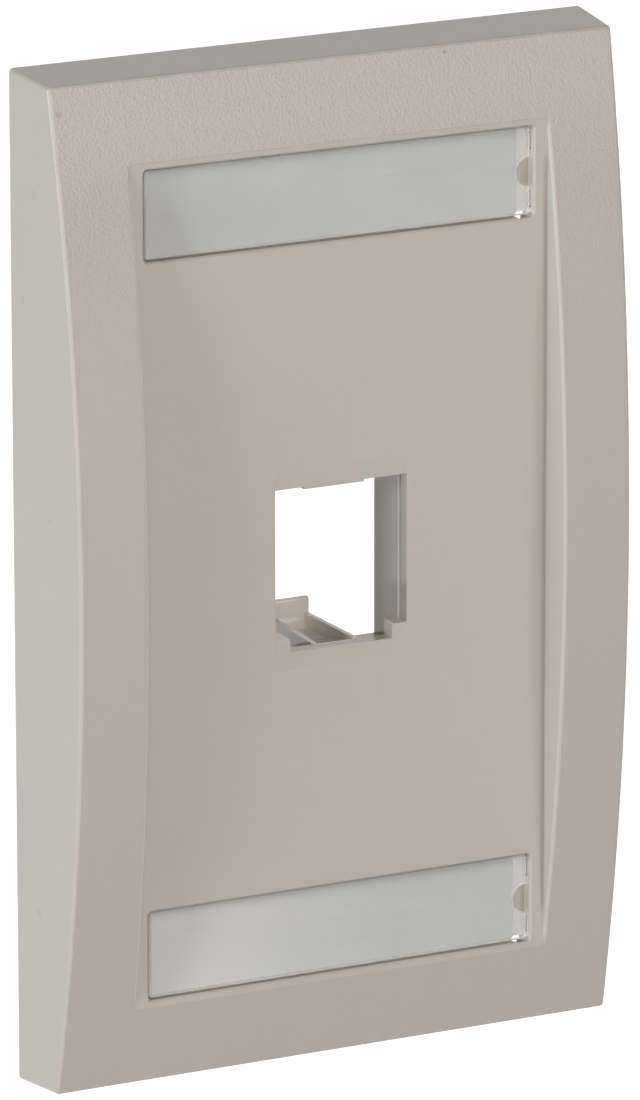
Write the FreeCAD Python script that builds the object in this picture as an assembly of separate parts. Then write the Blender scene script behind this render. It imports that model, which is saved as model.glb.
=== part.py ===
"""Single-gang keystone faceplate with two snap-in label windows.

One moulded plate with a crowned front, a flat panel sunk between its two side rails, one
keystone port with a spring scoop behind it, and a label pocket at each end of the panel.
A clear window and a paper card lie in each pocket and hide the holes for the fixing screws.

Frame: X to the right, Z up, the front faces -Y and the rear rim lies on Y = 0.
"""
import FreeCAD, Part
import os
from math import radians, sin, tan

V = FreeCAD.Vector

# ---- plate outline (all sizes in mm) ----
plate_width = 70.0
plate_height = 115.0
edge_depth = 8.25        # rim to the front edge, at the top and bottom ends
crown_rise = 6.25        # how far the middle of the front stands past its ends
side_draft = 4.6         # degrees, the side walls lean in towards the front
end_draft = 4.0          # degrees, the top and bottom walls
wall = 1.8               # outer walls, and the skin of the rails and ends
corner_round = 0.5       # the four corners of the outline
front_round = 0.4        # front edges

# ---- sunk panel between the rails ----
panel_width = 50.9
panel_depth = 10.1       # rim to the panel's front face
panel_thickness = 1.75
rail_draft = 1.5         # degrees, the rails' inner walls
rail_round = 0.35        # front edge of the rails' inner walls
end_border = 6.0         # the rails are rounded up to this distance from the plate's ends

# ---- keystone port, heights from the plate's centre ----
port_width = 16.2
port_top = 9.4
port_step = -7.6         # top of the two lower corner blocks
port_bottom = -9.25      # bottom of the notch between the blocks
notch_width = 12.6
notch_round = 0.35       # upper inner corners of the blocks
block_depth = 2.4        # the blocks, from the panel's front

# ---- housing around the port, behind the panel ----
housing_wall = 1.3
housing_depth = 7.5      # panel front to the housing's rear edge
housing_inset = 0.2      # its inside is narrower than the port by this, each side
floor_drop = 1.5         # notch to the housing's floor
latch_width = 7.4        # ledge for a jack's latch, under the housing's roof
latch_drop = 0.8
latch_length = 1.6
latch_slope = 0.6        # sloping rear of the ledge

# ---- spring scoop behind the notch ----
scoop_root_width = 5.6
scoop_tip_width = 4.9
scoop_web = 0.55         # its side webs
scoop_wall = 0.8         # its floor and lip
scoop_rim = 0.18         # top of the webs above the notch
scoop_sink = 1.35        # its deepest floor below the notch
scoop_slope = 6.0        # length over which the floor sinks
scoop_reach = 11.2       # panel's back to the front of the lip
scoop_bend = 1.4         # inside radius between floor and lip
scoop_gap = 0.5          # clearance to the housing's floor at each side
lip_height = 1.82        # lip above the side webs
lip_round = 0.3

# ---- label pockets ----
pocket_shift = 0.25      # the pockets' centres lie further out than the screws by this
pocket_margin = 1.65     # pocket to the panel's left and right edges
pocket_height = 10.25
pocket_depth = 1.5
pocket_round = 0.45      # corners
pocket_edge_bevel = 0.2  # front edge
pocket_floor = 1.3
pocket_border = 1.5      # the pad behind a pocket reaches this far past its outline
pry_width = 1.65         # slot in the lower wall, where a blade lifts the window
pry_margin = 0.2         # slot to the pocket's right wall
pry_bite = 0.55          # how far the slot cuts into the pocket's floor
pry_ramp = 16.0          # degrees, the slot's lower side falls towards the rear

# ---- clear windows ----
window_left_gap = 0.1
window_right_gap = 0.45
window_top_gap = 0.1
window_bottom_gap = 0.3
window_thickness = 1.2
window_round = 0.35      # corners
window_edge_bevel = 0.12 # front edge
finger_radius = 1.62     # half-moon in the right end
hook_height = 4.0        # hook at the left end
hook_length = 0.7
hook_thickness = 0.55
nib_height = 1.6         # snap nibs at the right end, above and below the half-moon
nib_catch = 0.15         # how far they reach past the pocket's wall
nib_thickness = 0.4
nib_offset = 3.3         # from the pocket's centre
snap_clearance = 0.15    # around the hook and the nibs

# ---- paper cards under the windows ----
card_thickness = 0.25
card_left_margin = 0.6   # inside the window's outline
card_right_margin = 1.4
card_side_margin = 0.15

# ---- holes for the fixing screws, in the pocket floors ----
screw_pitch = 83.34
screw_hole_radius = 2.0
screw_head_radius = 3.6
screw_head_angle = 82.0  # degrees, full angle of the countersink
screw_boss_radius = 5.6
screw_boss_depth = 2.6   # pocket floor to the rear of the boss

# ---- stiffening ribs at the rear ----
rib_thickness = 1.1
rib_height = 2.6         # above the panel's back
rib_offset = 16.5        # upright ribs, either side of the port
cross_rib_gap = 6.0      # port housing to the cross ribs
rail_rib_count = 5
rail_rib_pitch = 21.0

tolerance = 1e-6         # in tests on directions and places
touch = 0.01             # between a surface and the box around an edge on it
reach = 200.0            # longer than the plate, for cutting tools
clear = 5.0              # how far a cutting tool stands off a surface
overlap = 0.8            # how deep a joined piece starts inside the skin
full_depth = edge_depth + crown_rise
half_front = plate_height / 2 - edge_depth * tan(radians(end_draft))
crown_radius = (half_front**2 + crown_rise**2) / (2 * crown_rise)
crown_axis = crown_radius - full_depth
panel_front = -panel_depth
panel_back = panel_front + panel_thickness
joint_plane = panel_back - overlap
rib_back = panel_back + rib_height
housing_back = panel_front + housing_depth
housing_half = port_width / 2 - housing_inset
housing_floor = port_bottom - floor_drop
pocket_pitch = screw_pitch + 2 * pocket_shift
pocket_width = panel_width - 2 * pocket_margin
pocket_front = panel_front + pocket_depth
pocket_back = pocket_front + pocket_floor
boss_back = pocket_back + screw_boss_depth
window_back = pocket_front - card_thickness
window_front = window_back - window_thickness
window_left = -pocket_width / 2 + window_left_gap
window_right = pocket_width / 2 - window_right_gap
window_bottom = -pocket_height / 2 + window_bottom_gap
window_top = pocket_height / 2 - window_top_gap
pockets = {"top": pocket_pitch / 2, "bottom": -pocket_pitch / 2}


def box(x, y, z):
    """Block between three pairs of limits."""
    block = Part.makeBox(x[1] - x[0], y[1] - y[0], z[1] - z[0])
    block.translate(V(x[0], y[0], z[0]))
    return block


def prism(points, direction):
    """Solid swept from a closed outline of straight lines."""
    return Part.Face(Part.makePolygon(points + [points[0]])).extrude(direction)


def rod(radius, y, x=0, z=0):
    """Cylinder along Y between two limits."""
    return Part.makeCylinder(radius, y[1] - y[0], V(x, y[0], z), V(0, 1, 0))


def raised(shape, height):
    """Copy of a shape moved up."""
    copy = shape.copy()
    copy.translate(V(0, 0, height))
    return copy


def is_parallel(edge, axis):
    """True for a straight edge parallel to an axis."""
    if edge.Curve.TypeId != "Part::GeomLine":
        return False
    return edge.Curve.Direction.cross(axis).Length < tolerance


def lies_at(edge, y):
    """True for an edge that lies in a plane across Y."""
    return all(abs(vertex.Y - y) < tolerance for vertex in edge.Vertexes)


def fuse(shapes):
    """One solid from several that overlap."""
    whole = shapes[0]
    for shape in shapes[1:]:
        whole = whole.fuse(shape)
    return whole.removeSplitter()


def round_edges(shape, radius, wanted):
    """Fillet the edges that the test picks."""
    return shape.makeFillet(radius, [edge for edge in shape.Edges if wanted(edge)])


def bevel_edges(shape, size, wanted):
    """Chamfer the edges that the test picks."""
    return shape.makeChamfer(size, [edge for edge in shape.Edges if wanted(edge)])


# ---- the plate's skin ----

def drafted_block(inset, rear, front):
    """Block between the outer walls, or a distance inside them, from rear to front."""
    rings = []
    for y in (rear, front):
        half_x = plate_width / 2 - inset + y * tan(radians(side_draft))
        half_z = plate_height / 2 - inset + y * tan(radians(end_draft))
        signs = ((-1, -1), (1, -1), (1, 1), (-1, 1))
        rings.append([V(sx * half_x, y, sz * half_z) for sx, sz in signs])
    rear_ring, front_ring = rings
    outlines = [rear_ring, front_ring]
    for i in range(4):
        j = (i + 1) % 4
        outlines.append([rear_ring[i], rear_ring[j], front_ring[j], front_ring[i]])
    faces = [Part.Face(Part.makePolygon(points + [points[0]])) for points in outlines]
    block = Part.Solid(Part.Shell(faces))
    if block.Volume < 0:
        block.reverse()
    return block


def crown(inset):
    """Cylinder whose surface is the crowned front, or lies a distance behind it."""
    start = V(-reach / 2, crown_axis, 0)
    return Part.makeCylinder(crown_radius - inset, reach, start, V(1, 0, 0))


def outer_block():
    """Outside of the plate with its rounded corners and front edges."""
    block = drafted_block(0, 0, -full_depth - clear).common(crown(0))
    block = round_edges(block, corner_round, is_corner)
    return round_edges(block, front_round, is_front)


def is_corner(edge):
    """One of the four edges that run from the rim to the front."""
    span = edge.BoundBox
    return span.YMax > -touch and span.YMin < -edge_depth / 2


def is_front(edge):
    return edge.BoundBox.YMax < -edge_depth / 2


def rail_gap(offset, back):
    """Space between the rails' inner walls in front of a plane; the offset widens it."""
    front = -full_depth - clear
    lean = tan(radians(rail_draft))
    half_back = panel_width / 2 + offset - (back - panel_front) * lean
    half_front_side = panel_width / 2 + offset - (front - panel_front) * lean
    outline = [
        V(-half_back, back, -reach / 2),
        V(half_back, back, -reach / 2),
        V(half_front_side, front, -reach / 2),
        V(-half_front_side, front, -reach / 2),
    ]
    return prism(outline, V(0, 0, reach))


def rails():
    """The two side rails with rounded inner edges, short of the plate's ends."""
    half_length = plate_height / 2 - end_border
    right_half = box((0, reach), (-reach, reach), (-half_length, half_length))
    rail = outer_block().common(right_half).cut(rail_gap(0, panel_back))
    rail = round_edges(rail, rail_round, is_rail_edge)
    return [rail, rail.mirror(V(0, 0, 0), V(1, 0, 0))]


def is_rail_edge(edge):
    """The long inner front edge of a rail."""
    reaches_crown = edge.BoundBox.YMin < -edge_depth - crown_rise / 2
    return edge.Curve.TypeId == "Part::GeomEllipse" and reaches_crown


def hollow(depth):
    """Space inside the plate, a depth below its outer skin, open at the rim."""
    inside = drafted_block(depth, clear, -full_depth - clear).common(crown(depth))
    return inside.cut(rail_gap(depth, panel_front + depth / wall * panel_thickness))


def shell():
    """Crowned, drafted skin with the sunk panel between its rails."""
    behind_panel = outer_block().common(box((-reach, reach), (panel_front, reach), (-reach, reach)))
    return fuse([behind_panel] + rails()).cut(hollow(wall))


# ---- the keystone port ----

def port_opening():
    """Opening through the panel, stepped in at its lower corners."""
    y = (panel_front - clear, panel_back)
    half = port_width / 2
    notch_half = notch_width / 2
    upper = box((-half, half), y, (port_step, port_top))
    notch = box((-notch_half, notch_half), y, (port_bottom, port_step + notch_round))
    blocks = []
    for side in (-1, 1):
        x = sorted((side * notch_half, side * (notch_half + notch_round)))
        corner = box(x, y, (port_step - notch_round, port_step))
        centre_x = side * (notch_half + notch_round)
        blocks.append(corner.cut(rod(notch_round, y, centre_x, port_step - notch_round)))
    return fuse([upper, notch] + blocks)


def housing():
    """Block around the port behind the panel, before it is hollowed."""
    half = housing_half + housing_wall
    z = (housing_floor - housing_wall, port_top + housing_wall)
    return box((-half, half), (joint_plane, housing_back), z)


def housing_hollow():
    """Inside of the housing and the slot in its floor that the scoop lies in."""
    slot_half = scoop_root_width / 2 + scoop_gap
    y = (panel_back, reach)
    inside = box((-housing_half, housing_half), y, (housing_floor, port_top))
    slot = box((-slot_half, slot_half), y, (housing_floor - housing_wall - clear, port_bottom))
    return [inside, slot]


def corner_blocks():
    """Rear halves of the two blocks in the port's lower corners."""
    y = (joint_plane, panel_front + block_depth)
    z = (housing_floor - overlap, port_step)
    inner = notch_width / 2 + housing_inset
    outer = housing_half + overlap
    return [box((inner, outer), y, z), box((-outer, -inner), y, z)]


def latch_ledge():
    """Ledge under the housing's roof that a jack's latch snaps behind."""
    start = -latch_width / 2
    top = port_top + overlap
    low = port_top - latch_drop
    outline = [
        V(start, panel_back, top),
        V(start, panel_back, low),
        V(start, panel_back + latch_length - latch_slope, low),
        V(start, panel_back + latch_length, port_top),
        V(start, panel_back + latch_length, top),
    ]
    return prism(outline, V(latch_width, 0, 0))


def scoop_side(depth, top):
    """Side outline of the scoop: its floor, bend and lip, a depth outside the inner faces."""
    root_z = port_bottom - depth
    floor_z = port_bottom - scoop_sink - depth
    lip_y = panel_back + scoop_reach + depth
    radius = scoop_bend + depth
    bend_start = V(0, lip_y - radius, floor_z)
    bend_end = V(0, lip_y, floor_z + radius)
    diagonal = radius * sin(radians(45))
    bend_middle = V(0, lip_y - radius + diagonal, floor_z + radius - diagonal)
    floor_line = [V(0, panel_back, root_z), V(0, panel_back + scoop_slope, floor_z), bend_start]
    upper_line = [bend_end, V(0, lip_y, top), V(0, panel_back, top), V(0, panel_back, root_z)]
    bend = Part.Arc(bend_start, bend_middle, bend_end).toShape()
    edges = Part.makePolygon(floor_line).Edges + [bend] + Part.makePolygon(upper_line).Edges
    return Part.Face(Part.Wire(edges))


def scoop_plan(inset):
    """Upright block that narrows from the scoop's root to its tip."""
    root = scoop_root_width / 2 - inset
    end = scoop_tip_width / 2 - inset
    lip_y = panel_back + scoop_reach + scoop_wall
    z = -reach / 2
    outline = [V(-root, panel_back, z), V(root, panel_back, z), V(end, lip_y, z), V(-end, lip_y, z)]
    return prism(outline, V(0, 0, reach))


def scoop():
    """Spring tongue in the form of a scoop, with side webs and an upturned lip."""
    width = V(scoop_root_width, 0, 0)
    lip_top = port_bottom + scoop_rim + lip_height
    outside = scoop_side(scoop_wall, lip_top).extrude(width)
    inside = scoop_side(0, lip_top + clear).extrude(width)
    for part in (outside, inside):
        part.translate(V(-scoop_root_width / 2, 0, 0))
    lip_front = panel_back + scoop_reach
    rim = port_bottom + scoop_rim
    above = box((-reach, reach), (panel_back - clear, lip_front), (rim, rim + reach))
    tongue = outside.common(scoop_plan(0)).cut([inside.common(scoop_plan(scoop_web)), above])
    at_lip_top = [edge for edge in tongue.Edges
                  if is_parallel(edge, V(1, 0, 0)) and edge.BoundBox.ZMin > lip_top - touch]
    return tongue.makeFillet(lip_round, at_lip_top)


def scoop_root():
    """Solid that joins the scoop's root to the panel below the notch."""
    half = scoop_root_width / 2
    z = (port_bottom - scoop_wall, port_bottom)
    return box((-half, half), (joint_plane, panel_back + touch), z)


# ---- label pockets and what lies in them ----

def label_tool(x, y, z, radius):
    """Block with rounded corners across the front."""
    return round_edges(box(x, y, z), radius, lambda edge: is_parallel(edge, V(0, 1, 0)))


def pocket_outline():
    half_x = pocket_width / 2
    half_z = pocket_height / 2
    return (-half_x, half_x), (-half_z, half_z)


def pocket_pad():
    """Thick floor behind a pocket, about the pocket's centre."""
    x, z = pocket_outline()
    x = (x[0] - pocket_border, x[1] + pocket_border)
    z = (z[0] - pocket_border, z[1] + pocket_border)
    return box(x, (joint_plane, pocket_back), z)


def pocket_room():
    """The pocket's open space, about its centre."""
    x, z = pocket_outline()
    return label_tool(x, (panel_front - clear, pocket_front), z, pocket_round)


def pocket_details():
    """Recesses for the window's hook and nibs, and the pry slot, about the pocket's centre."""
    left, right = pocket_outline()[0]
    hook_y = (window_back - hook_thickness - snap_clearance, pocket_front)
    hook_half = hook_height / 2 + snap_clearance
    hook_x = (left - hook_length - snap_clearance, left + overlap)
    hook_recess = box(hook_x, hook_y, (-hook_half, hook_half))
    nib_y = (window_back - nib_thickness - snap_clearance, pocket_front)
    nib_x = (right - overlap, right + nib_catch + snap_clearance)
    nib_half = nib_height / 2 + snap_clearance
    nib_recesses = [box(nib_x, nib_y, (centre - nib_half, centre + nib_half))
                    for centre in (-nib_offset, nib_offset)]
    return [hook_recess, pry_slot()] + nib_recesses


def pry_slot():
    """Slot beside the pocket's lower right corner, through the floor and the lower wall."""
    x, z = pocket_outline()
    start = x[1] - pry_margin - pry_width
    rear = pocket_back + clear
    fall = (rear - panel_front) * tan(radians(pry_ramp))
    outline = [
        V(start, panel_front, z[0] + pry_bite),
        V(start, panel_front, z[0]),
        V(start, rear, z[0] - fall),
        V(start, rear, z[0] + pry_bite),
    ]
    return prism(outline, V(pry_width, 0, 0))


def is_pocket_edge(edge):
    """True for the front edges of both pockets."""
    low = pocket_pitch / 2 - pocket_height / 2
    high = pocket_pitch / 2 + pocket_height / 2
    if not lies_at(edge, panel_front):
        return False
    span = edge.BoundBox
    beside = abs(span.Center.x) < pocket_width / 2 + touch
    return beside and all(low - touch < abs(vertex.Z) < high + touch for vertex in edge.Vertexes)


def screw_hole():
    """Countersunk hole, about the hole's axis."""
    taper = (screw_head_radius - screw_hole_radius) / tan(radians(screw_head_angle / 2))
    head = Part.makeCone(screw_head_radius, screw_hole_radius, taper, V(0, pocket_front, 0), V(0, 1, 0))
    return fuse([head, rod(screw_hole_radius, (pocket_front, boss_back + clear))])


def window():
    """Clear window with a half-moon, a hook and two snap nibs, about the pocket's centre."""
    y = (window_front, window_back)
    plate = label_tool((window_left, window_right), y, (window_bottom, window_top), window_round)
    plate = plate.cut(rod(finger_radius, (window_front - clear, clear), window_right))
    plate = bevel_edges(plate, window_edge_bevel, lambda edge: lies_at(edge, window_front))
    hook_x = (window_left - hook_length, window_left + overlap)
    hook_y = (window_back - hook_thickness, window_back)
    hook = box(hook_x, hook_y, (-hook_height / 2, hook_height / 2))
    nib_x = (window_right - overlap, pocket_width / 2 + nib_catch)
    nib_y = (window_back - nib_thickness, window_back)
    half = nib_height / 2
    nibs = [box(nib_x, nib_y, (centre - half, centre + half)) for centre in (-nib_offset, nib_offset)]
    return fuse([plate, hook] + nibs)


def card():
    """Paper card under a window, about the pocket's centre."""
    x = (window_left + card_left_margin, window_right - card_right_margin)
    z = (window_bottom + card_side_margin, window_top - card_side_margin)
    return box(x, (window_back, pocket_front), z)


# ---- stiffening ----

def ribs():
    """Upright and cross ribs behind the panel and short ribs across the rails."""
    y = (joint_plane, rib_back)
    half = rib_thickness / 2
    pad_edge = pocket_pitch / 2 - pocket_height / 2
    found = [box((x - half, x + half), y, (-pad_edge, pad_edge)) for x in (-rib_offset, rib_offset)]
    upper = port_top + housing_wall + cross_rib_gap
    lower = housing_floor - housing_wall - cross_rib_gap
    span = panel_width / 2
    found += [box((-span, span), y, (z - half, z + half)) for z in (lower, upper)]
    middle = (rail_rib_count - 1) / 2
    for i in range(rail_rib_count):
        z = (i - middle) * rail_rib_pitch
        for side in (-1, 1):
            x = sorted((side * panel_width / 2, side * plate_width / 2))
            found.append(box(x, (-full_depth, rib_back), (z - half, z + half)))
    inside = hollow(wall / 2)
    return [rib.common(inside) for rib in found]


def faceplate():
    """The moulded plate in one piece."""
    screw_heights = (-screw_pitch / 2, screw_pitch / 2)
    bosses = [rod(screw_boss_radius, (joint_plane, boss_back), 0, height) for height in screw_heights]
    pads = [raised(pocket_pad(), height) for height in pockets.values()]
    plate = fuse([shell(), housing()] + pads + bosses + ribs())
    plate = plate.cut([raised(pocket_room(), height) for height in pockets.values()])
    plate = bevel_edges(plate, pocket_edge_bevel, is_pocket_edge)
    details = [raised(detail, height) for height in pockets.values() for detail in pocket_details()]
    holes = [raised(screw_hole(), height) for height in screw_heights]
    plate = plate.cut(details + holes + housing_hollow() + [port_opening()])
    return fuse([plate, latch_ledge(), scoop_root(), scoop()] + corner_blocks())


def export(name, shape):
    solid = shape.Solids[0] if len(shape.Solids) == 1 else shape
    solid.exportStep(os.path.join("parts", name + ".step"))


os.makedirs("parts", exist_ok=True)
export("faceplate", faceplate())
for place, height in pockets.items():
    export(place + "_window", raised(window(), height))
    export(place + "_card", raised(card(), height))
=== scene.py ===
"""Keystone faceplate: the looks of the plate, its two windows and its two cards."""
import bmesh
import bpy
from math import cos, radians, sin
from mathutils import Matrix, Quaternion, Vector

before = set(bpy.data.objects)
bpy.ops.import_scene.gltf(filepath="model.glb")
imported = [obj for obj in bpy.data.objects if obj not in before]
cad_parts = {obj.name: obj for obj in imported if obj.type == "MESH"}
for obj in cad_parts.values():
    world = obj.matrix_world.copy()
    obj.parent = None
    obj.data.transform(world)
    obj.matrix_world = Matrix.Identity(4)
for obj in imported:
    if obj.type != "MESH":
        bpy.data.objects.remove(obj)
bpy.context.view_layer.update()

# ---- camera ----
# A long lens, to the left of the plate and a little above it, a hair off level as a camera on
# a stand is. Everything is sharp.
scene = bpy.context.scene
CAMERA_AZIMUTH = -26.72
CAMERA_ELEVATION = 15.65
CAMERA_ROLL = -0.063
CAMERA_DISTANCE = 1.0283
CAMERA_AIM = Vector((0.00187, -0.00119, -0.0008))
CAMERA_LENS = 303.0
CAMERA_NEAR = 0.01
CAMERA_FAR = 20.0


def from_angle(azimuth, elevation, distance):
    """Point seen from the plate at an azimuth and an elevation, in metres."""
    a = radians(azimuth)
    e = radians(elevation)
    return Vector((sin(a) * cos(e), -cos(a) * cos(e), sin(e))) * distance


camera = bpy.data.objects.new("camera", bpy.data.cameras.new("camera"))
scene.collection.objects.link(camera)
camera.data.lens = CAMERA_LENS
camera.data.clip_start = CAMERA_NEAR
camera.data.clip_end = CAMERA_FAR
to_camera = from_angle(CAMERA_AZIMUTH, CAMERA_ELEVATION, 1.0)
camera.location = CAMERA_AIM + to_camera * CAMERA_DISTANCE
level = to_camera.to_track_quat("Z", "Y")
camera.rotation_mode = "QUATERNION"
camera.rotation_quaternion = level @ Quaternion((0.0, 0.0, 1.0), radians(CAMERA_ROLL))
scene.camera = camera
scene.view_settings.view_transform = "Standard"

# ---- lamps ----
# Soft boxes around the plate: a cool one at its left side, a broad one in front a little above
# it, and one behind, which lights the rear.
LAMP_DISTANCE = 1.3


def soft_box(name, azimuth, elevation, size, watts, colour):
    """Square lamp aimed at the plate, its size in metres."""
    data = bpy.data.lights.new(name, "AREA")
    data.shape = "SQUARE"
    data.size = size
    data.energy = watts
    data.color = colour
    light = bpy.data.objects.new(name, data)
    scene.collection.objects.link(light)
    light.location = from_angle(azimuth, elevation, LAMP_DISTANCE)
    light.rotation_mode = "QUATERNION"
    light.rotation_quaternion = light.location.to_track_quat("Z", "Y")


soft_box("side_lamp", -80.0, 10.0, 0.5, 10.7, (0.86, 0.955, 1.0))
soft_box("front_lamp", 0.0, 20.0, 1.6, 13.5, (1.0, 1.0, 0.99))
soft_box("rear_lamp", 112.0, 5.0, 0.5, 9.0, (1.0, 1.0, 1.0))

# ---- studio ----
# A white room. The eye, gloss and clear plastic see it as plain white, and what it throws on
# the plate is weak.
ROOM_LIGHT = 0.03
WHITE = (1.0, 1.0, 1.0, 1.0)


class Shade:
    """A shader value. Arithmetic on it adds the nodes that work the result out."""

    def __init__(self, tree, output=None):
        self.tree = tree
        self.output = output

    def node(self, kind, settings, inputs, output=0):
        """Any node, from its type, its settings, and the values or links of its inputs."""
        made = self.tree.nodes.new(kind)
        for name, value in settings.items():
            setattr(made, name, value)
        for name, value in inputs.items():
            if isinstance(value, Shade):
                self.tree.links.new(value.output, made.inputs[name])
            else:
                made.inputs[name].default_value = value
        return Shade(self.tree, made.outputs[output]) if made.outputs else made

    def math(self, operation, *values):
        """Math node on one or more values."""
        return self.node("ShaderNodeMath", {"operation": operation}, dict(enumerate(values)))

    def __add__(self, other):
        return self.math("ADD", self, other)

    def __sub__(self, other):
        return self.math("SUBTRACT", self, other)

    def __rsub__(self, other):
        return self.math("SUBTRACT", other, self)

    def __mul__(self, other):
        return self.math("MULTIPLY", self, other)

    __radd__ = __add__
    __rmul__ = __mul__


def new_shade(block):
    """Empties the nodes of a world or a material and gives a Shade to start from."""
    block.use_nodes = True
    block.node_tree.nodes.clear()
    return Shade(block.node_tree)


def seen_as_white(shade):
    """1 for what the eye sees, also in gloss or through clear plastic, else 0."""
    camera_ray = shade.node("ShaderNodeLightPath", {}, {}, "Is Camera Ray")
    glossy_ray = shade.node("ShaderNodeLightPath", {}, {}, "Is Glossy Ray")
    clear_ray = shade.node("ShaderNodeLightPath", {}, {}, "Is Transmission Ray")
    scattered = shade.node("ShaderNodeLightPath", {}, {}, "Diffuse Depth")
    mirrored = shade.math("MAXIMUM", glossy_ray, clear_ray)
    any_view = shade.math("MAXIMUM", camera_ray, mirrored)
    unscattered = shade.math("LESS_THAN", scattered, 0.5)
    return any_view * unscattered


world = bpy.data.worlds.new("white_room")
scene.world = world
room = new_shade(world)
seen = seen_as_white(room)
power = ROOM_LIGHT + seen * (1.0 - ROOM_LIGHT)
sky = room.node("ShaderNodeBackground", {}, {"Color": WHITE, "Strength": power})
room.node("ShaderNodeOutputWorld", {}, {"Surface": sky})

# ---- floor ----
# A broad board, painted matt white, that lies well below the plate. The plate stands free
# above it, as it does on a wall.
FLOOR_DROP = 0.18
FLOOR_SIZE = 12.0
BOARD_PAINT = (0.8, 0.8, 0.8, 1.0)
BOARD_GLOW = 0.85

floor_form = bmesh.new()
bmesh.ops.create_grid(floor_form, x_segments=2, y_segments=2, size=FLOOR_SIZE / 2)
bmesh.ops.translate(floor_form, verts=floor_form.verts, vec=(0.0, 0.0, -FLOOR_DROP))
floor_mesh = bpy.data.meshes.new("floor")
floor_form.to_mesh(floor_mesh)
floor_form.free()
floor = bpy.data.objects.new("floor", floor_mesh)
scene.collection.objects.link(floor)

board = bpy.data.materials.new("white_board")
face = new_shade(board)
matt = face.node("ShaderNodeBsdfDiffuse", {}, {"Color": BOARD_PAINT})
glow = face.node("ShaderNodeEmission", {}, {"Color": WHITE, "Strength": BOARD_GLOW})
bright = face.node("ShaderNodeAddShader", {}, {0: matt, 1: glow})
surface = face.node("ShaderNodeMixShader", {}, {0: seen_as_white(face), 1: matt, 2: bright})
face.node("ShaderNodeOutputMaterial", {}, {"Surface": surface})
floor_mesh.materials.append(board)

# ---- the plate ----
# One piece moulded in ivory ABS. The mould gives the crowned frame a fine spark-eroded grain
# and leaves the sunk panel nearly smooth, and the side walls and the port polished.
PLATE_IVORY = (0.525, 0.465, 0.40, 1.0)
PLATE_PALE = (0.545, 0.485, 0.42, 1.0)
# Painted sheen: the frame's front is tinted cooler than the panel, and paler towards its top.
PLATE_FRAME_SHEEN = (0.517, 0.451, 0.402, 1.0)
PLATE_TOP_SHEEN = (0.565, 0.500, 0.458, 1.0)
PLATE_SHADED = (0.34, 0.30, 0.255, 1.0)
# Painted light and highlights for the scoop, steps, block tops and rail walls and edges.
PLATE_PAINTED_LIGHT = (0.75, 0.70, 0.62, 1.0)
# Painted shade for the crease and the pockets, also used for the real scuffs and specks.
PLATE_SHADE_AND_SOIL = (0.30, 0.25, 0.20, 1.0)
CLOUD_SIZE = 0.014

# Places on the plate, in metres from its middle. Depths are negative towards the front.
EDGE_BLUR = 0.0001
PANEL_HALF_WIDTH = 0.0254
PANEL_HALF_HEIGHT = 0.0479
PANEL_DEPTH = 0.0101
PORT_HALF_WIDTH = 0.0082
PORT_HALF_HEIGHT = 0.0115
PORT_OPEN_HALF_WIDTH = 0.0070
PORT_SIDE_BLUR = 0.0005
PORT_STEP_DEPTH = (-0.0098, -0.0096)
BLOCK_TOP_HEIGHT = (-0.0085, -0.0083)
SCOOP_HALF_WIDTH = 0.0034
SCOOP_DROP = (0.0070, 0.0072)
SCOOP_DEPTH = (-0.0088, -0.0086)
POCKET_SIDE_DEPTH = (-0.0100, -0.0099)
POCKET_FLOOR_DEPTH = (-0.0088, -0.0087)
CREASE_ACROSS = 0.02535
CREASE_HALF_WIDTH = 0.00055
CREASE_BLUR = 0.0005
CREASE_HALF_DEPTH = 0.0003
CREASE_HALF_HEIGHT = 0.0445
CREASE_END_BLUR = 0.002
RAIL_EDGE_HALF_WIDTH = 0.0006
RAIL_WALL_ACROSS = (0.0246, 0.0250)

# How squarely a face must look one way: where it starts to count, and where it counts in full.
SQUARE_ON = (0.94, 0.975)
NEARLY_SQUARE = (0.7, 0.9)
DRAFTED = (0.6, 0.9)
ROUNDED = (0.2, 0.6)

# Grain of the mould, stronger towards the top of the frame.
GRAIN_SIZE = 0.00034
GRAIN_DEPTH = 0.00011
GRAIN_RISE = (0.018, 0.056)
FRAME_GRAIN = 0.25
TOP_GRAIN = 0.75
PANEL_GRAIN = 0.2
# Where the painted sheen at the top of the frame starts, and where it is full.
SHEEN_RISE = (0.040, 0.052)

# How much painted shade or painted light a place takes.
CREASE_SHADE = 0.35
POCKET_FLOOR_SHADE = 0.30
POCKET_SIDE_SHADE = 0.65
PORT_SIDE_SHADE = 0.8
BLOCK_TOP_LIGHT = 0.8
RAIL_WALL_LIGHT = 0.23

# Scuffs and specks from handling: how dark, where, and how wide.
MARKS = (
    (0.20, (-0.0346, -0.0051, 0.0445), 0.0007),
    (0.18, (-0.0348, -0.0025, 0.0322), 0.0006),
    (0.18, (-0.0343, -0.0081, 0.0088), 0.0005),
    (0.18, (-0.0346, -0.0049, -0.0367), 0.0006),
    (0.35, (-0.0333, -0.0089, 0.0540), 0.0005),
    (0.60, (0.0135, -0.0085, 0.0561), 0.0003),
)

PLATE_ROUGHNESS = 0.30
FRAME_ROUGHER = 0.20
PANEL_ROUGHER = 0.12
PORT_SMOOTHER = 0.12
SCOOP_SMOOTHER = 0.06
ABS_IOR = 1.5


def rising(value, low, high):
    """0 below the low value and 1 above the high one, with a soft change between."""
    limits = {"Value": value, "From Min": low, "From Max": high}
    return value.node("ShaderNodeMapRange", {"interpolation_type": "SMOOTHSTEP"}, limits)


def within(value, limit, softness):
    """1 where a value is nearer to zero than a limit."""
    return rising(limit - value.math("ABSOLUTE", value), 0.0, softness)


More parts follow.
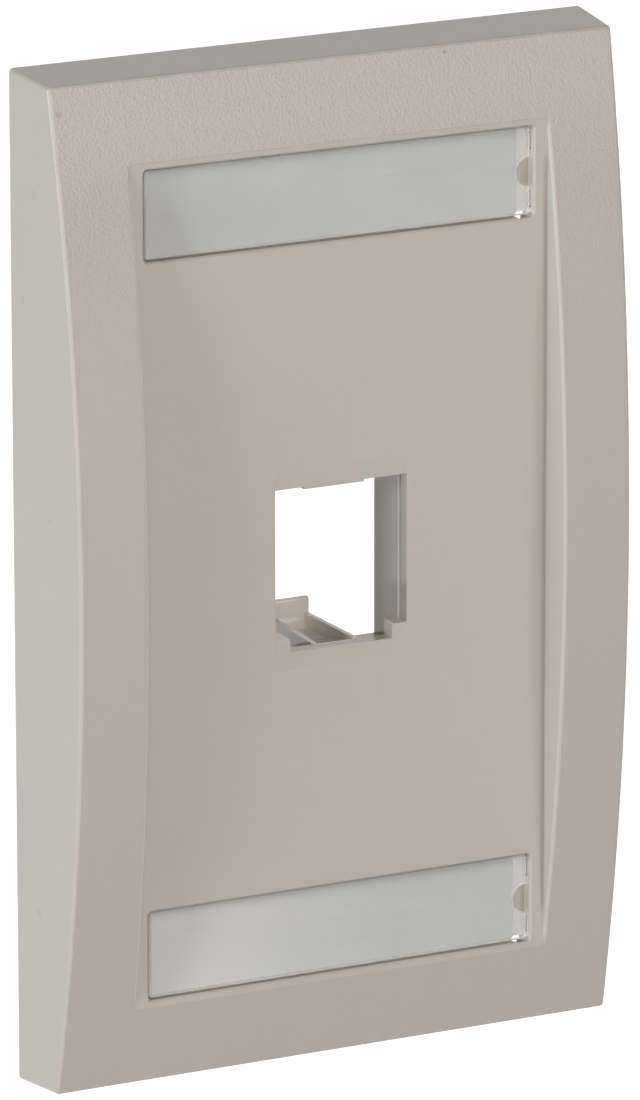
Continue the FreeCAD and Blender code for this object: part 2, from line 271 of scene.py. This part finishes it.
def blended(factor, first, second):
    """Colour between two: the first at a factor of 0, the second at 1."""
    colours = {"Factor": factor, 6: first, 7: second}
    return factor.node("ShaderNodeMix", {"data_type": "RGBA"}, colours, 2)


def noise(place, size, detail):
    """Noise whose blobs are about as wide as the size."""
    settings = {"Vector": place, "Scale": 1.0 / size, "Detail": detail}
    return place.node("ShaderNodeTexNoise", {}, settings)


def spot(place, centre, radius):
    """Soft round mark about a point, solid over the inner part of its radius."""
    ends = {0: place, 1: centre}
    far = place.node("ShaderNodeVectorMath", {"operation": "DISTANCE"}, ends, "Value")
    core = radius * 0.4
    return 1.0 - rising(far, core, radius)


ivory = bpy.data.materials.new("ivory_abs")
abs_skin = new_shade(ivory)
place = abs_skin.node("ShaderNodeTexCoord", {}, {}, "Object")
normal = abs_skin.node("ShaderNodeTexCoord", {}, {}, "Normal")
across = abs_skin.node("ShaderNodeSeparateXYZ", {}, {"Vector": place}, "X")
depth = abs_skin.node("ShaderNodeSeparateXYZ", {}, {"Vector": place}, "Y")
height = abs_skin.node("ShaderNodeSeparateXYZ", {}, {"Vector": place}, "Z")
facing = abs_skin.node("ShaderNodeSeparateXYZ", {}, {"Vector": normal}, "Y")
sideways = abs_skin.node("ShaderNodeSeparateXYZ", {}, {"Vector": normal}, "X")
upright = abs_skin.node("ShaderNodeSeparateXYZ", {}, {"Vector": normal}, "Z")

front = rising(0.0 - facing, *SQUARE_ON)
panel = within(across, PANEL_HALF_WIDTH, EDGE_BLUR)
panel = panel * within(height, PANEL_HALF_HEIGHT, EDGE_BLUR)
port = within(across, PORT_HALF_WIDTH, EDGE_BLUR)
port = port * within(height, PORT_HALF_HEIGHT, EDGE_BLUR)
frame_front = front * (1.0 - panel)
panel_front = front * panel * (1.0 - port)
top_grained = frame_front * rising(height, *GRAIN_RISE)
grained = FRAME_GRAIN * frame_front + TOP_GRAIN * top_grained + PANEL_GRAIN * panel_front
grain = noise(place, GRAIN_SIZE, detail=2.0)
relief = abs_skin.node(
    "ShaderNodeBump", {}, {"Strength": 1.0, "Distance": GRAIN_DEPTH, "Height": grain * grained}
)

# Painted shade in the crease beside the right rail and in the pockets, and the real marks.
crease = within(across - CREASE_ACROSS, CREASE_HALF_WIDTH, CREASE_BLUR)
crease = crease * within(depth + PANEL_DEPTH, CREASE_HALF_DEPTH, EDGE_BLUR)
crease = crease * within(height, CREASE_HALF_HEIGHT, CREASE_END_BLUR)
pocket_floors = rising(depth, *POCKET_FLOOR_DEPTH) * front * panel * (1.0 - port)
pocket_sides = panel * (1.0 - port) * rising(depth, *POCKET_SIDE_DEPTH)
pocket_sides = pocket_sides * rising(upright, *NEARLY_SQUARE)
shade_and_marks = CREASE_SHADE * crease + POCKET_FLOOR_SHADE * pocket_floors
shade_and_marks = shade_and_marks + POCKET_SIDE_SHADE * pocket_sides
for darkness, centre, radius in MARKS:
    shade_and_marks = shade_and_marks + darkness * spot(place, centre, radius)

# The port's side walls lie in shade. The scoop, the step behind the port's edge, the tops of
# the corner blocks and the rails' inner walls and edges are painted paler: painted light and
# highlights.
port_sides = port * (1.0 - within(across, PORT_OPEN_HALF_WIDTH, PORT_SIDE_BLUR))
port_sides = port_sides * rising(sideways.math("ABSOLUTE", sideways), *NEARLY_SQUARE)
scoop = port * within(across, SCOOP_HALF_WIDTH, 2.0 * EDGE_BLUR)
scoop = scoop * rising(0.0 - height, *SCOOP_DROP) * rising(depth, *SCOOP_DEPTH)
rail_edge = within(across + PANEL_HALF_WIDTH, RAIL_EDGE_HALF_WIDTH, 2.0 * EDGE_BLUR)
rail_edge = rail_edge * rising(sideways, *ROUNDED)
port_step = port * front * rising(depth, *PORT_STEP_DEPTH)
block_tops = port * rising(upright, *NEARLY_SQUARE) * rising(height, *BLOCK_TOP_HEIGHT)
rail_wall = rising(across, *RAIL_WALL_ACROSS) * rising(0.0 - sideways, *DRAFTED)
painted_light = rail_edge + scoop + port_step
painted_light = painted_light + BLOCK_TOP_LIGHT * block_tops + RAIL_WALL_LIGHT * rail_wall

cloud = noise(place, CLOUD_SIZE, detail=3.0)
tone = blended(cloud, PLATE_IVORY, PLATE_PALE)
# Painted sheen: a cooler tone on the frame's front, and a paler one towards its top.
tone = blended(frame_front, tone, PLATE_FRAME_SHEEN)
tone = blended(frame_front * rising(height, *SHEEN_RISE), tone, PLATE_TOP_SHEEN)
tone = blended(PORT_SIDE_SHADE * port_sides, tone, PLATE_SHADED)
# Painted light: the scoop, the port's step, the block tops and the rails' walls and edges made
# paler.
tone = blended(painted_light, tone, PLATE_PAINTED_LIGHT)
# Painted shade in the crease and the pockets, with the real scuffs and specks.
tone = blended(shade_and_marks, tone, PLATE_SHADE_AND_SOIL)

roughness = PLATE_ROUGHNESS + FRAME_ROUGHER * frame_front + PANEL_ROUGHER * panel_front
roughness = roughness - PORT_SMOOTHER * port - SCOOP_SMOOTHER * scoop
skin = abs_skin.node(
    "ShaderNodeBsdfPrincipled", {},
    {"Base Color": tone, "Roughness": roughness, "Normal": relief, "IOR": ABS_IOR},
)
abs_skin.node("ShaderNodeOutputMaterial", {}, {"Surface": skin})
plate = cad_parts["faceplate"]
plate.data.materials.clear()
plate.data.materials.append(ivory)

# ---- the cards ----
# Two labels of plain white card, cut a little smaller than the windows and laid on the floors
# of the pockets behind them, with nothing printed on them. The lower one is painted paler,
# most at its left end: painted light against the shade of its pocket's left wall.
PAPER_WHITE = (0.57, 0.56, 0.555, 1.0)
PAPER_SHADE = (0.52, 0.515, 0.51, 1.0)
PAPER_PAINTED_LIGHT = (0.69, 0.672, 0.66, 1.0)
FIBRE_SIZE = 0.0005
FIBRE_DEPTH = 0.00001
FIBRE_SHARE = 0.3
MOTTLE_SIZE = 0.006
MOTTLE_SHARE = 0.7
LOWER_CARD = (0.0, 0.01)
CARD_LIGHT_SIDE = (-0.010, 0.020)
CARD_LIGHT_LEAST = 0.1
CARD_LIGHT_MORE = 0.9
PAPER_ROUGHNESS = 0.85
PAPER_TOOTH = 0.5

paper = bpy.data.materials.new("white_paper")
sheet = new_shade(paper)
place = sheet.node("ShaderNodeTexCoord", {}, {}, "Object")
fibre = noise(place, FIBRE_SIZE, detail=3.0)
mottle = noise(place, MOTTLE_SIZE, detail=2.0)
white = blended(FIBRE_SHARE * fibre + MOTTLE_SHARE * mottle, PAPER_SHADE, PAPER_WHITE)
across = sheet.node("ShaderNodeSeparateXYZ", {}, {"Vector": place}, "X")
height = sheet.node("ShaderNodeSeparateXYZ", {}, {"Vector": place}, "Z")
# Painted light: the lower card is made paler, most at its left end, where its pocket shades
# it.
card_painted_light = CARD_LIGHT_LEAST + CARD_LIGHT_MORE * rising(0.0 - across, *CARD_LIGHT_SIDE)
card_painted_light = rising(0.0 - height, *LOWER_CARD) * card_painted_light
white = blended(card_painted_light, white, PAPER_PAINTED_LIGHT)
tooth = sheet.node(
    "ShaderNodeBump", {}, {"Strength": PAPER_TOOTH, "Distance": FIBRE_DEPTH, "Height": fibre}
)
matt = sheet.node(
    "ShaderNodeBsdfPrincipled", {},
    {"Base Color": white, "Roughness": PAPER_ROUGHNESS, "Normal": tooth},
)

# A card's front and its window's back are one plane, so the eye often sees the card's rear
# face from inside. Lamps reach that face through the front one.
lamp_ray = sheet.node("ShaderNodeLightPath", {}, {}, "Is Shadow Ray")
inside = sheet.node("ShaderNodeNewGeometry", {}, {}, "Backfacing")
open_way = sheet.node("ShaderNodeBsdfTransparent", {}, {"Color": WHITE})
skin = sheet.node("ShaderNodeMixShader", {}, {0: lamp_ray * inside, 1: matt, 2: open_way})
sheet.node("ShaderNodeOutputMaterial", {}, {"Surface": skin})
for name in ("top_card", "bottom_card"):
    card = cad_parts[name]
    card.data.materials.clear()
    card.data.materials.append(paper)

# ---- the windows ----
# Injection-moulded clear polycarbonate, snapped in over the cards. Lamps reach the cards
# through it, and its faces have a faint film from handling.
CLEAR_TINT = (0.945, 0.94, 0.935, 1.0)
EDGE_PAINTED_SHADE = (0.56, 0.53, 0.48, 1.0)
FILM_WHITE = (0.85, 0.85, 0.84, 1.0)
PANE_FACE = (0.6, 0.9)
FACE_ROUGHNESS = 0.05
EDGE_ROUGHER = 0.4
CLEAR_IOR = 1.58
WIPE_SIZE = 0.009
FILM_LEAST = 0.11
FILM_MORE = 0.14

polycarbonate = bpy.data.materials.new("clear_polycarbonate")
pane = new_shade(polycarbonate)
place = pane.node("ShaderNodeTexCoord", {}, {}, "Object")
normal = pane.node("ShaderNodeTexCoord", {}, {}, "Normal")
facing = pane.node("ShaderNodeSeparateXYZ", {}, {"Vector": normal}, "Y")
edges = 1.0 - rising(facing.math("ABSOLUTE", facing), *PANE_FACE)
# Painted shade: the window's edge faces take a dark brown tint for the narrow gaps round it.
clear = pane.node(
    "ShaderNodeBsdfPrincipled", {},
    {"Base Color": blended(edges, CLEAR_TINT, EDGE_PAINTED_SHADE),
     "Roughness": FACE_ROUGHNESS + EDGE_ROUGHER * edges,
     "IOR": CLEAR_IOR, "Transmission Weight": 1.0},
)
film = pane.node("ShaderNodeBsdfDiffuse", {}, {"Color": FILM_WHITE})
wipe = noise(place, WIPE_SIZE, detail=3.0)
film_share = FILM_LEAST + FILM_MORE * wipe
filmed = pane.node("ShaderNodeMixShader", {}, {0: film_share, 1: clear, 2: film})
lamp_ray = pane.node("ShaderNodeLightPath", {}, {}, "Is Shadow Ray")
open_way = pane.node("ShaderNodeBsdfTransparent", {}, {"Color": CLEAR_TINT})
body = pane.node("ShaderNodeMixShader", {}, {0: lamp_ray, 1: filmed, 2: open_way})
pane.node("ShaderNodeOutputMaterial", {}, {"Surface": body})
for name in ("top_window", "bottom_window"):
    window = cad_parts[name]
    window.data.materials.clear()
    window.data.materials.append(polycarbonate)
